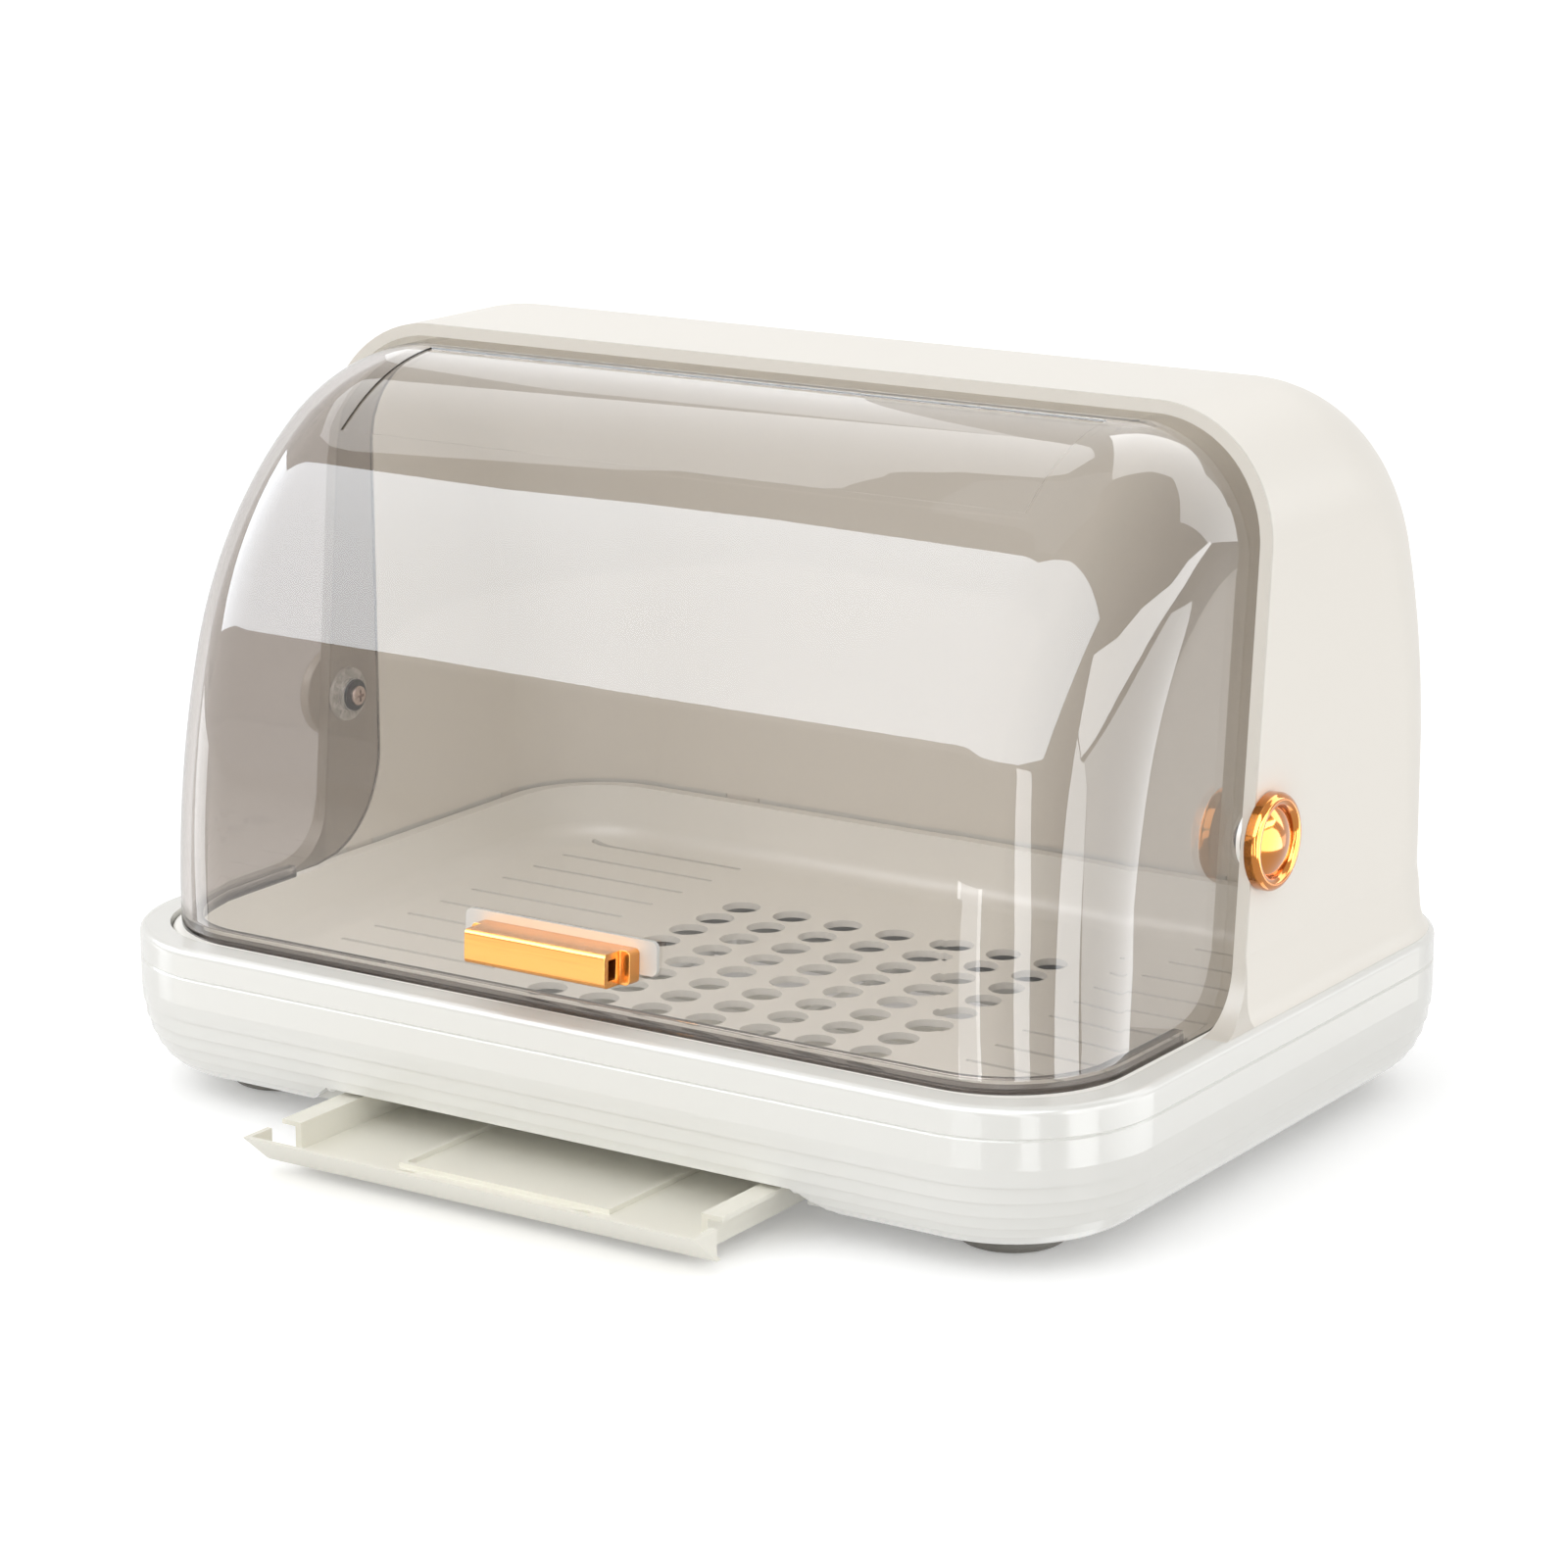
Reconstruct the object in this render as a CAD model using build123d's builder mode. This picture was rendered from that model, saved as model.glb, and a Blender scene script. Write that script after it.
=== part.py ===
"""Covered drying box for baby bottles: base, hood, lid on side pivots, drain tray and drip drawer.

Millimetres, +Z up, front towards -Y. The origin is the middle of the resting outline at table level,
with the drip drawer drawn out as far as it stands at rest.
"""
from build123d import *

import os
from math import cos, radians, sin

os.makedirs("parts", exist_ok=True)

# Base
base_width = 326.0
base_depth = 236.0
base_corner = 42.0
base_wall = 3.0
tub_bottom = 7.5
part_line = 39.5
rim_top = 48.0
rim_round = 2.2
seam_chamfer = 0.5
under_height = 24.0
under_inset = 14.0
under_steps = 8
step_width = 0.55

# Rim section, measured in from the base's outside
skirt_start = 3.3
skirt_end = 5.3
skirt_drop = 5.0
deck_width = 8.7
deck_thickness = 2.5
inner_wall = 1.8
ledge_width = 12.0
ledge_thickness = 2.5

# Hood
hood_inset = 5.5
hood_wall = 3.5
hood_lid_gap = 1.1
hood_back_radius = 200.0
hood_back_turn = 20.0
hood_crown_radius = 67.0
hood_front_foot = 98.5
hood_front_lean = 15.0
hood_sill_radius = 15.0
hood_flare = 3.8
hood_flare_height = 27.0
hood_flare_levels = 5

# Hood clips, each a tongue with a hook under the rim's deck
clip_width = 12.0
clip_thickness = 1.2
clip_length = 5.2
clip_hook = 1.3
clip_hook_gap = 0.1
clip_side_gap = 0.3
clip_spread = 88.0

# Lid
lid_inset = 10.5
lid_front_gap = 10.5
lid_wall = 3.0
lid_bottom = 47.5
lid_corner = 35.0
lid_front_rise = 5.5
lid_low_radius = 261.3
lid_low_turn = 16.8
lid_mid_radius = 121.5
lid_mid_turn = 37.9
lid_top_radius = 69.8
lid_rear_edge = 123.5
lid_ear_radius = 31.0
lid_lip_depth = 3.0
lid_lip_height = 3.5
lid_lip_end = 78.5
panel_half_width = 112.0
panel_sink = 0.5
panel_front = 61.0
panel_back = 103.0

# Pivots
pivot_from_front = 111.0
pivot_height = 96.0
stem_radius = 3.4
stem_fit = 0.05
stem_wall_gap = 0.1
bush_radius = 4.8
bush_flange_radius = 8.0
bush_flange_gap = 0.25
stem_end_gap = 0.3
washer_radius = 4.7
washer_thickness = 0.8
pivot_screw_radius = 1.2
pivot_screw_length = 5.0
pivot_screw_head_radius = 3.0
pivot_screw_head_height = 1.6
screw_gap = 0.05
press_gap = 0.02
cross_length_share = 1.2
cross_width_share = 0.3
cross_depth_share = 0.5
cap_radius = 13.3
cap_skirt = 2.2
cap_rim_radius = 1.9
cap_dome_height = 2.8

# Handle
bar_half_width = 26.0
bar_grip_half_width = 23.0
bar_height = 9.4
bar_middle = 65.4
bar_block_depth = 4.6
bar_grip_depth = 7.2
bar_grip_wall = 1.9
bar_round = 1.4
plate_half_width = 31.5
plate_height = 9.5
plate_rise = 2.4
plate_thickness = 1.2
plate_corner = 2.0
handle_screw_spread = 17.0
handle_screw_radius = 1.4
handle_screw_head_radius = 2.9
handle_screw_head_height = 1.7
handle_screw_bite = 2.6
handle_screw_seat_gap = 0.02

# Drain tray
tray_inset = 9.5
tray_floor = 28.5
tray_thickness = 2.0
tray_rim_top = 47.0
tray_bead_width = 5.0
tray_bead_thickness = 2.0
tray_skirt_thickness = 2.0
tray_cove = 6.5
tray_bead_round = 0.9
drain_hole_radius = 5.8
drain_columns = 7
drain_rows = 9
drain_pitch_x = 18.32
drain_pitch_y = 14.15
drain_middle = 121.2
slot_count = 13
slot_pitch = 15.87
slot_length = 57.1
slot_width = 1.8
slot_outer_end = 136.5
slot_middle = 118.1

# Drip drawer at rest
drawer_reach = 35.5
drawer_drawn = 41.0
drawer_half_width = 68.0
drawer_wall = 2.0
drawer_floor = 4.0
drawer_floor_thickness = 2.0
drawer_top = 13.5
drawer_length = 168.0
drawer_front_gap = 15.0
flange_width = 4.6
flange_thickness = 1.3
lip_half_width = 74.0
lip_top = 12.2
lip_bottom = 3.2
lip_slope = 10.4
lip_plate = 1.9
lip_gusset = 1.6
lip_tab_spread = 29.0
lip_tab_thickness = 1.4
lip_tab_length = 6.0
panel_rib_spread = 34.0
panel_rib_width = 1.6
panel_rib_height = 1.4
panel_inset = 3.0

# Drawer bay and runners
bay_half_width = 76.0
bay_wall = 2.5
bay_top = 14.8
bay_rear_gap = 5.0
bay_mouth_spread = 11.0
bay_mouth_side_gap = 1.2
window_half_width = 61.0
window_length = 132.0
window_middle = 118.5
window_corner = 8.0
window_bar_width = 3.0
runner_width = 5.6
runner_height = 3.4
runner_web = 3.0
runner_gap = 0.3
runner_length = 166.0
runner_front_gap = 19.5
runner_round = 1.0
runner_screw_radius = 0.9
runner_screw_head_radius = 2.0
runner_screw_head_height = 1.3
runner_screw_bite = 4.0
runner_screw_share = 0.36
bay_stud_radius = 1.9

# Feet
foot_radius = 15.0
foot_inset = 40.5
foot_round = 2.0
foot_draft = 1.5
foot_stem_radius = 4.0
foot_stem_gap = 0.1
foot_head_radius = 5.4
foot_head_height = 2.0

# Cuts run past the solids by this much
overrun = 5.0

# Places that follow from the sizes above
back_y = (base_depth + drawer_reach) / 2
front_y = back_y - base_depth
middle_y = (front_y + back_y) / 2
half_width = base_width / 2
floor_top = tub_bottom + base_wall
ledge_top = part_line + ledge_thickness
hood_corner = base_corner - hood_inset
hood_half_width = half_width - hood_inset
hood_back_y = back_y - hood_inset
pivot_y = front_y + pivot_from_front
lid_half_width = half_width - lid_inset
lid_front_y = front_y + lid_front_gap
lid_rear_y = front_y + lid_rear_edge
lid_top_turn = 90 - lid_low_turn - lid_mid_turn
lid_mid_low = sin(radians(lid_low_turn))
lid_mid_high = sin(radians(lid_low_turn + lid_mid_turn))
lid_low_top = lid_bottom + lid_front_rise + lid_low_radius * lid_mid_low
lid_top = lid_low_top + lid_mid_radius * (lid_mid_high - lid_mid_low) + lid_top_radius * (1 - lid_mid_high)
hood_top = lid_top + hood_lid_gap + hood_wall
deck_under = rim_top - deck_thickness


def plan(inset, height):
    """Outline of the base in plan, drawn in by inset, as a sketch at the given height."""
    with BuildSketch(Plane((0, middle_y, height))) as outline:
        RectangleRounded(base_width - 2 * inset, base_depth - 2 * inset, base_corner - inset)
    return outline.sketch


def plan_block(inset, bottom, top):
    """Upright block with the base's outline drawn in by inset."""
    with BuildPart() as block:
        add(plan(inset, bottom))
        extrude(amount=top - bottom)
    return block.part


def curved_under(inset, bottom, rise, top, step):
    """Bowl-shaped block: its side curves under along a quarter ellipse, in tiers that overhang by step."""
    with BuildPart() as block:
        for tier in range(under_steps):
            low = radians(90 * tier / under_steps)
            high = radians(90 * (tier + 1) / under_steps)
            add(plan(inset + under_inset * (1 - sin(low)), bottom + rise * (1 - cos(low))))
            overhang = step if tier < under_steps - 1 else 0
            add(plan(inset + under_inset * (1 - sin(high)) + overhang, bottom + rise * (1 - cos(high))))
            loft(ruled=True)
        add(plan(inset, bottom + rise))
        extrude(amount=top - bottom - rise)
    return block.part


def hood_block(inset, bottom):
    """Solid under the hood's outside, drawn in by inset, from the base's front to its rounded back."""
    half = hood_half_width - inset
    with BuildPart() as block:
        with BuildSketch(Plane.YZ.offset(-half)) as side:
            with BuildLine():
                spring = (
                    hood_top
                    - hood_crown_radius * (1 - sin(radians(hood_back_turn)))
                    - hood_back_radius * sin(radians(hood_back_turn))
                )
                back = Line((hood_back_y - inset, bottom), (hood_back_y - inset, spring))
                lower = JernArc(back @ 1, (0, 1), hood_back_radius - inset, hood_back_turn)
                crown = JernArc(lower @ 1, lower % 1, hood_crown_radius - inset, 90 - hood_back_turn)
                top = Line(crown @ 1, (front_y, (crown @ 1).Y))
                Polyline(top @ 1, (front_y, bottom), back @ 0)
            make_face()
        extrude(amount=2 * half)
        for side_face in (block.faces().sort_by(Axis.X)[0], block.faces().sort_by(Axis.X)[-1]):
            rounded = side_face.edges().sort_by(Axis.Z)[1:].sort_by(Axis.Y)[1:]
            fillet(rounded, radius=hood_corner - inset)
    return block.part


def lid_block(inset):
    """Solid under the lid's outside, drawn in by inset, from its curved front to the hood's back."""
    half = lid_half_width - inset
    with BuildPart() as block:
        with BuildSketch(Plane.YZ.offset(-half)):
            with BuildLine():
                front = Line(
                    (lid_front_y + inset, lid_bottom - overrun),
                    (lid_front_y + inset, lid_bottom + lid_front_rise),
                )
                low = JernArc(front @ 1, (0, 1), lid_low_radius - inset, -lid_low_turn)
                mid = JernArc(low @ 1, low % 1, lid_mid_radius - inset, -lid_mid_turn)
                high = JernArc(mid @ 1, mid % 1, lid_top_radius - inset, -lid_top_turn)
                top = Line(high @ 1, (back_y, (high @ 1).Y))
                Polyline(top @ 1, (back_y, lid_bottom - overrun), front @ 0)
            make_face()
        extrude(amount=2 * half)
        for side_face in (block.faces().sort_by(Axis.X)[0], block.faces().sort_by(Axis.X)[-1]):
            rounded = side_face.edges().sort_by(Axis.Z)[1:].sort_by(Axis.Y)[:-1]
            fillet(rounded, radius=lid_corner - inset)
    return block.part


def finish(part, name):
    """Label a finished piece and write it to its own file."""
    part.label = name
    export_step(part, "parts/" + name + ".step")


# Base tub: curved-under shell with the drawer bay let into its floor
bay_front = front_y - overrun
bay_back = front_y + runner_front_gap + runner_length + bay_rear_gap
window_y = front_y + window_middle
foot_x = half_width - foot_inset
foot_places = {
    "front_left": (-foot_x, front_y + foot_inset),
    "front_right": (foot_x, front_y + foot_inset),
    "rear_left": (-foot_x, back_y - foot_inset),
    "rear_right": (foot_x, back_y - foot_inset),
}
runner_front = front_y + runner_front_gap
runner_screw_y = [
    runner_front + runner_length / 2 - runner_screw_share * runner_length,
    runner_front + runner_length / 2 + runner_screw_share * runner_length,
]
runner_screw_x = bay_half_width - runner_web / 2
bay_roof = bay_top + bay_wall
bay_stud_y = front_y + under_inset / 2

with BuildPart() as bay_housing:
    add(curved_under(0, tub_bottom, under_height, part_line, step_width))
    with BuildSketch(Plane.XY.offset(tub_bottom), mode=Mode.PRIVATE) as footprint:
        with Locations((0, (bay_front + bay_back + bay_wall) / 2)):
            Rectangle(2 * (bay_half_width + bay_wall), bay_back + bay_wall - bay_front)
    extrude(footprint.sketch, amount=bay_roof - tub_bottom, mode=Mode.INTERSECT)

with BuildPart() as base_tub:
    add(curved_under(0, tub_bottom, under_height, part_line, step_width))
    seam_edges = base_tub.faces().sort_by(Axis.Z)[-1].edges()
    chamfer(seam_edges, length=seam_chamfer)
    add(curved_under(base_wall, floor_top, under_height - base_wall, part_line, 0), mode=Mode.SUBTRACT)
    add(bay_housing.part)
    with BuildSketch(Plane.XY.offset(tub_bottom - overrun)):
        with Locations((0, (bay_front + bay_back) / 2)):
            Rectangle(2 * bay_half_width, bay_back - bay_front)
    extrude(amount=bay_top - tub_bottom + overrun, mode=Mode.SUBTRACT)
    with BuildSketch(Plane.XZ.offset(-front_y - under_inset)):
        with BuildLine():
            mouth = bay_half_width + bay_mouth_side_gap
            Polyline(
                (-mouth - bay_mouth_spread, tub_bottom),
                (mouth + bay_mouth_spread, tub_bottom),
                (mouth, bay_top),
                (-mouth, bay_top),
                close=True,
            )
        make_face()
    extrude(amount=under_inset + overrun, mode=Mode.SUBTRACT)
    with BuildSketch(Plane.XY.offset(bay_top)):
        with Locations((0, window_y)):
            RectangleRounded(2 * window_half_width, window_length, window_corner)
            Rectangle(window_bar_width, window_length, mode=Mode.SUBTRACT)
            Rectangle(2 * window_half_width, window_bar_width, mode=Mode.SUBTRACT)
    extrude(amount=bay_wall, mode=Mode.SUBTRACT)
    with Locations([(x, y, floor_top) for x, y in foot_places.values()]):
        Hole(foot_stem_radius + foot_stem_gap, depth=base_wall)
    with Locations([(side * runner_screw_x, y, bay_roof) for side in (-1, 1) for y in runner_screw_y]):
        Hole(runner_screw_radius + screw_gap, depth=bay_wall)
    with Locations([(side * (bay_half_width + bay_mouth_side_gap), bay_stud_y, bay_top)
                    for side in (-1, 1)]):
        Sphere(bay_stud_radius)
finish(base_tub.part, "base_tub")

# Base rim: upper band with a locating skirt, a deck for the hood and a ledge for the tray
hood_front_foot_y = front_y + hood_front_foot
clip_inset = hood_inset + hood_wall - clip_thickness - clip_side_gap
clip_y = [middle_y, back_y - foot_inset]
clip_bottom = rim_top - clip_length
clip_hook_height = deck_under - clip_hook_gap - clip_bottom


def clip_slots():
    """Openings in the rim for the hood's clips, with room for the hooks under the deck."""
    inner = half_width - clip_inset - clip_thickness - clip_side_gap
    outer = half_width - clip_inset + clip_side_gap
    with BuildPart() as slots:
        for side in (-1, 1):
            for y in clip_y:
                with BuildSketch(Plane.XY.offset(ledge_top)):
                    with Locations((side * (inner + outer) / 2, y)):
                        Rectangle(outer - inner, clip_width + 2 * clip_side_gap)
                extrude(amount=rim_top - ledge_top)
                with BuildSketch(Plane.XY.offset(ledge_top)):
                    with Locations((side * (outer + clip_hook / 2), y)):
                        Rectangle(clip_hook, clip_width + 2 * clip_side_gap)
                extrude(amount=deck_under - ledge_top)
        for x in (-clip_spread, clip_spread):
            with BuildSketch(Plane.XY.offset(ledge_top)):
                with Locations((x, back_y - half_width + (inner + outer) / 2)):
                    Rectangle(clip_width + 2 * clip_side_gap, outer - inner)
            extrude(amount=rim_top - ledge_top)
            with BuildSketch(Plane.XY.offset(ledge_top)):
                with Locations((x, back_y - half_width + outer + clip_hook / 2)):
                    Rectangle(clip_width + 2 * clip_side_gap, clip_hook)
            extrude(amount=deck_under - ledge_top)
    return slots.part


with BuildPart() as base_rim:
    add(plan_block(0, part_line, rim_top))
    fillet(base_rim.faces().sort_by(Axis.Z)[-1].edges(), radius=rim_round)
    chamfer(base_rim.faces().sort_by(Axis.Z)[0].edges(), length=seam_chamfer)
    add(plan_block(skirt_start, part_line - skirt_drop, part_line))
    add(plan_block(deck_width, ledge_top, rim_top + overrun), mode=Mode.SUBTRACT)
    add(plan_block(ledge_width, part_line, ledge_top), mode=Mode.SUBTRACT)
    add(plan_block(skirt_end, part_line - skirt_drop, part_line), mode=Mode.SUBTRACT)
    with BuildSketch(Plane.XY.offset(part_line)):
        add(plan(skirt_end, part_line))
        add(plan(deck_width - inner_wall, part_line), mode=Mode.SUBTRACT)
    extrude(amount=deck_under - part_line, mode=Mode.SUBTRACT)
    add(clip_slots(), mode=Mode.SUBTRACT)
finish(base_rim.part, "base_rim")

# Hood: rounded shell open to the front, flared at its foot, held by clips under the rim's deck
hood_lean = hood_front_lean / (hood_top - rim_top)

with BuildPart() as hood_flare_ring:
    for level in range(hood_flare_levels):
        share = level / (hood_flare_levels - 1)
        add(plan(
            hood_inset - hood_flare * (1 - sin(radians(90 * share))),
            rim_top + hood_flare_height * (1 - cos(radians(90 * share))),
        ))
    loft()

with BuildPart() as hood_front_cut:
    with BuildSketch(Plane.YZ.offset(-half_width - overrun)):
        with BuildLine():
            lean_start = (hood_front_foot_y + hood_lean * hood_sill_radius, rim_top + hood_sill_radius)
            foot = Line((front_y - overrun, rim_top), (hood_front_foot_y - hood_sill_radius, rim_top))
            rise = Line(lean_start, (hood_front_foot_y + hood_front_lean, hood_top))
            TangentArc(foot @ 1, rise @ 0, tangent=foot % 1)
            Polyline(
                rise @ 1,
                (hood_front_foot_y + hood_front_lean + hood_lean * overrun, hood_top + overrun),
                (front_y - overrun, hood_top + overrun),
                foot @ 0,
            )
        make_face()
    extrude(amount=base_width + 2 * overrun)

with BuildPart() as hood:
    add(hood_block(0, rim_top))
    add(hood_flare_ring.part)
    add(hood_block(hood_wall, rim_top), mode=Mode.SUBTRACT)
    add(hood_front_cut.part, mode=Mode.SUBTRACT)
    for side in (-1, 1):
        for y in clip_y:
            with BuildSketch(Plane.XY.offset(clip_bottom)):
                with Locations((side * (half_width - clip_inset - clip_thickness / 2), y)):
                    Rectangle(clip_thickness, clip_width)
            extrude(amount=clip_length)
            with BuildSketch(Plane.XY.offset(clip_bottom)):
                with Locations((side * (half_width - clip_inset + clip_hook / 2), y)):
                    Rectangle(clip_hook, clip_width)
            extrude(amount=clip_hook_height)
    for x in (-clip_spread, clip_spread):
        with BuildSketch(Plane.XY.offset(clip_bottom)):
            with Locations((x, back_y - clip_inset - clip_thickness / 2)):
                Rectangle(clip_width, clip_thickness)
        extrude(amount=clip_length)
        with BuildSketch(Plane.XY.offset(clip_bottom)):
            with Locations((x, back_y - clip_inset + clip_hook / 2)):
                Rectangle(clip_width, clip_hook)
        extrude(amount=clip_hook_height)
    with Locations(Plane((hood_half_width, pivot_y, pivot_height), z_dir=(1, 0, 0))):
        Hole(stem_radius + stem_wall_gap, depth=2 * hood_half_width)
finish(hood.part, "hood")

# Lid: clear curved cover with an inner lip along its bottom edge and two ears round the pivots
lid_lip_end_y = front_y + lid_lip_end
bar_turn = (bar_middle - lid_bottom - lid_front_rise) / lid_low_radius
handle_plane = Plane(
    (
        0,
        lid_front_y + lid_low_radius * (1 - cos(bar_turn)),
        lid_bottom + lid_front_rise + lid_low_radius * sin(bar_turn),
    ),
    x_dir=(1, 0, 0),
    z_dir=(0, -cos(bar_turn), sin(bar_turn)),
)

with BuildPart() as lid_rear_cut:
    with BuildSketch(Plane.YZ.offset(-half_width)):
        with BuildLine():
            ear_start_y = lid_rear_y - lid_ear_radius
            ear = Line((ear_start_y, lid_bottom), (ear_start_y, lid_bottom - overrun))
            rear = Polyline(
                ear @ 1,
                (back_y + overrun, lid_bottom - overrun),
                (back_y + overrun, lid_top + overrun),
                (lid_rear_y, lid_top + overrun),
                (lid_rear_y, lid_bottom + lid_ear_radius),
            )
            JernArc(rear @ 1, (0, -1), lid_ear_radius, -90)
        make_face()
    extrude(amount=base_width)

with BuildPart() as lid_lip:
    add(lid_block(lid_wall))
    add(lid_block(lid_wall + lid_lip_depth), mode=Mode.SUBTRACT)
    with BuildSketch(Plane.XY.offset(lid_bottom), mode=Mode.PRIVATE) as lip_zone:
        with Locations((0, (front_y + lid_lip_end_y) / 2)):
            Rectangle(base_width, lid_lip_end_y - front_y)
    extrude(lip_zone.sketch, amount=lid_lip_height, mode=Mode.INTERSECT)

with BuildPart() as lid_panel:
    add(lid_block(0))
    add(lid_block(panel_sink), mode=Mode.SUBTRACT)
    with BuildSketch(Plane.XY.offset(pivot_height), mode=Mode.PRIVATE) as panel_zone:
        with Locations((0, front_y + (panel_front + panel_back) / 2)):
            Rectangle(2 * panel_half_width, panel_back - panel_front)
    extrude(panel_zone.sketch, amount=hood_top, mode=Mode.INTERSECT)

with BuildPart() as lid:
    add(lid_block(0))
    add(lid_block(lid_wall), mode=Mode.SUBTRACT)
    with BuildSketch(Plane.XY.offset(lid_bottom)):
        with Locations((0, middle_y)):
            Rectangle(base_width, base_depth + 2 * overrun)
    extrude(amount=-2 * overrun, mode=Mode.SUBTRACT)
    add(lid_rear_cut.part, mode=Mode.SUBTRACT)
    add(lid_panel.part, mode=Mode.SUBTRACT)
    add(lid_lip.part)
    with Locations(Plane((lid_half_width, pivot_y, pivot_height), z_dir=(1, 0, 0))):
        Hole(bush_radius + press_gap, depth=base_width)
    with BuildSketch(handle_plane):
        with Locations((-handle_screw_spread, 0), (handle_screw_spread, 0)):
            Circle(handle_screw_radius + screw_gap)
    extrude(amount=-lid_wall - overrun, mode=Mode.SUBTRACT)
finish(lid.part, "lid")


def pan_head_screw(plane, radius, length, head_radius, head_height):
    """Screw with a cross recess: the head stands on the plane and the shank runs down from it."""
    with BuildPart() as screw:
        with BuildSketch(plane):
            Circle(radius)
        extrude(amount=-length)
        with BuildSketch(plane):
            Circle(head_radius)
        extrude(amount=head_height)
        top_edges = screw.edges().group_by(Axis(plane.origin, plane.z_dir))[-1]
        fillet(top_edges, radius=head_height / 2)
        with BuildSketch(plane.offset(head_height)):
            Rectangle(cross_length_share * head_radius, cross_width_share * head_radius)
            Rectangle(cross_width_share * head_radius, cross_length_share * head_radius)
        extrude(amount=-cross_depth_share * head_height, mode=Mode.SUBTRACT)
    return screw.part


# Pivots: cap with its stem outside, bush in the lid's ear, washer and screw inside
ear_x = lid_half_width - lid_wall
stem_end_x = ear_x - stem_end_gap
hood_inner_x = hood_half_width - hood_wall
stem_length = hood_half_width - stem_end_x

for side, hand in ((-1, "left"), (1, "right")):
    wall_point = (side * hood_half_width, pivot_y, pivot_height)
    wall_plane = Plane(wall_point, x_dir=(0, 1, 0), z_dir=(side, 0, 0))
    section_plane = Plane(wall_point, x_dir=(0, 1, 0), z_dir=(0, 0, -side))

    with BuildPart() as pivot_cap:
        with BuildSketch(section_plane):
            with BuildLine():
                dome_edge = cap_radius - 2 * cap_rim_radius
                Polyline(
                    (0, cap_skirt + cap_dome_height),
                    (0, -stem_length),
                    (stem_radius, -stem_length),
                    (stem_radius, 0),
                    (cap_radius, 0),
                    (cap_radius, cap_skirt),
                )
                ThreePointArc(
                    (cap_radius, cap_skirt),
                    (cap_radius - cap_rim_radius, cap_skirt + cap_rim_radius),
                    (dome_edge, cap_skirt),
                )
                TangentArc(
                    (0, cap_skirt + cap_dome_height),
                    (dome_edge, cap_skirt),
                    tangent=(1, 0),
                )
            make_face()
        revolve(axis=Axis(wall_point, (1, 0, 0)))
        with BuildSketch(wall_plane.offset(-stem_length)):
            Circle(pivot_screw_radius + screw_gap)
        extrude(amount=pivot_screw_length, mode=Mode.SUBTRACT)
    finish(pivot_cap.part, "pivot_cap_" + hand)

    with BuildPart() as pivot_bush:
        with BuildSketch(wall_plane.offset(ear_x - hood_half_width)):
            Circle(bush_radius)
        extrude(amount=lid_wall)
        with BuildSketch(wall_plane.offset(lid_half_width - hood_half_width)):
            Circle(bush_flange_radius)
        extrude(amount=hood_inner_x - bush_flange_gap - lid_half_width)
        with BuildSketch(wall_plane.offset(ear_x - hood_half_width)):
            Circle(stem_radius + stem_fit)
        extrude(amount=hood_half_width - ear_x, mode=Mode.SUBTRACT)
    finish(pivot_bush.part, "pivot_bush_" + hand)

    with BuildPart() as pivot_washer:
        with BuildSketch(wall_plane.offset(-stem_length)):
            Circle(washer_radius)
            Circle(pivot_screw_radius + screw_gap, mode=Mode.SUBTRACT)
        extrude(amount=-washer_thickness)
    finish(pivot_washer.part, "pivot_washer_" + hand)

    seat_point = (side * (stem_end_x - washer_thickness), pivot_y, pivot_height)
    pivot_screw = pan_head_screw(
        Plane(seat_point, x_dir=(0, 1, 0), z_dir=(-side, 0, 0)),
        pivot_screw_radius,
        pivot_screw_length,
        pivot_screw_head_radius,
        pivot_screw_head_height,
    )
    finish(pivot_screw, "pivot_screw_" + hand)

# Handle: white plate on the lid's front, hollow pull bar before it, two screws from inside
with BuildPart() as handle_plate:
    with BuildSketch(handle_plane.offset(plate_thickness)):
        with Locations((0, plate_rise)):
            RectangleRounded(2 * plate_half_width, plate_height, plate_corner)
        with Locations((-handle_screw_spread, 0), (handle_screw_spread, 0)):
            Circle(handle_screw_radius + screw_gap, mode=Mode.SUBTRACT)
    extrude(amount=-plate_thickness - overrun)
    add(lid_block(0), mode=Mode.SUBTRACT)
finish(handle_plate.part, "handle_plate")

with BuildPart() as handle_bar:
    with BuildSketch(handle_plane.offset(plate_thickness)):
        RectangleRounded(2 * bar_half_width, bar_height, bar_round)
    extrude(amount=bar_block_depth)
    with BuildSketch(handle_plane.offset(plate_thickness + bar_block_depth)):
        Rectangle(2 * bar_grip_half_width, bar_height)
    extrude(amount=bar_grip_depth)
    grip_front = handle_bar.faces().sort_by(Axis.Y)[0]
    fillet(grip_front.edges().filter_by(Axis.X), radius=bar_round)
    grip_middle = handle_plane.offset(plate_thickness + bar_block_depth + bar_grip_depth / 2)
    with BuildSketch(Plane(grip_middle.origin, x_dir=handle_plane.y_dir, z_dir=(1, 0, 0))):
        Rectangle(bar_height - 2 * bar_grip_wall, bar_grip_depth - 2 * bar_grip_wall)
    extrude(amount=bar_grip_half_width, both=True, mode=Mode.SUBTRACT)
    with BuildSketch(handle_plane.offset(plate_thickness)):
        with Locations((-handle_screw_spread, 0), (handle_screw_spread, 0)):
            Circle(handle_screw_radius + screw_gap)
    extrude(amount=handle_screw_bite, mode=Mode.SUBTRACT)
finish(handle_bar.part, "handle_bar")

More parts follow.
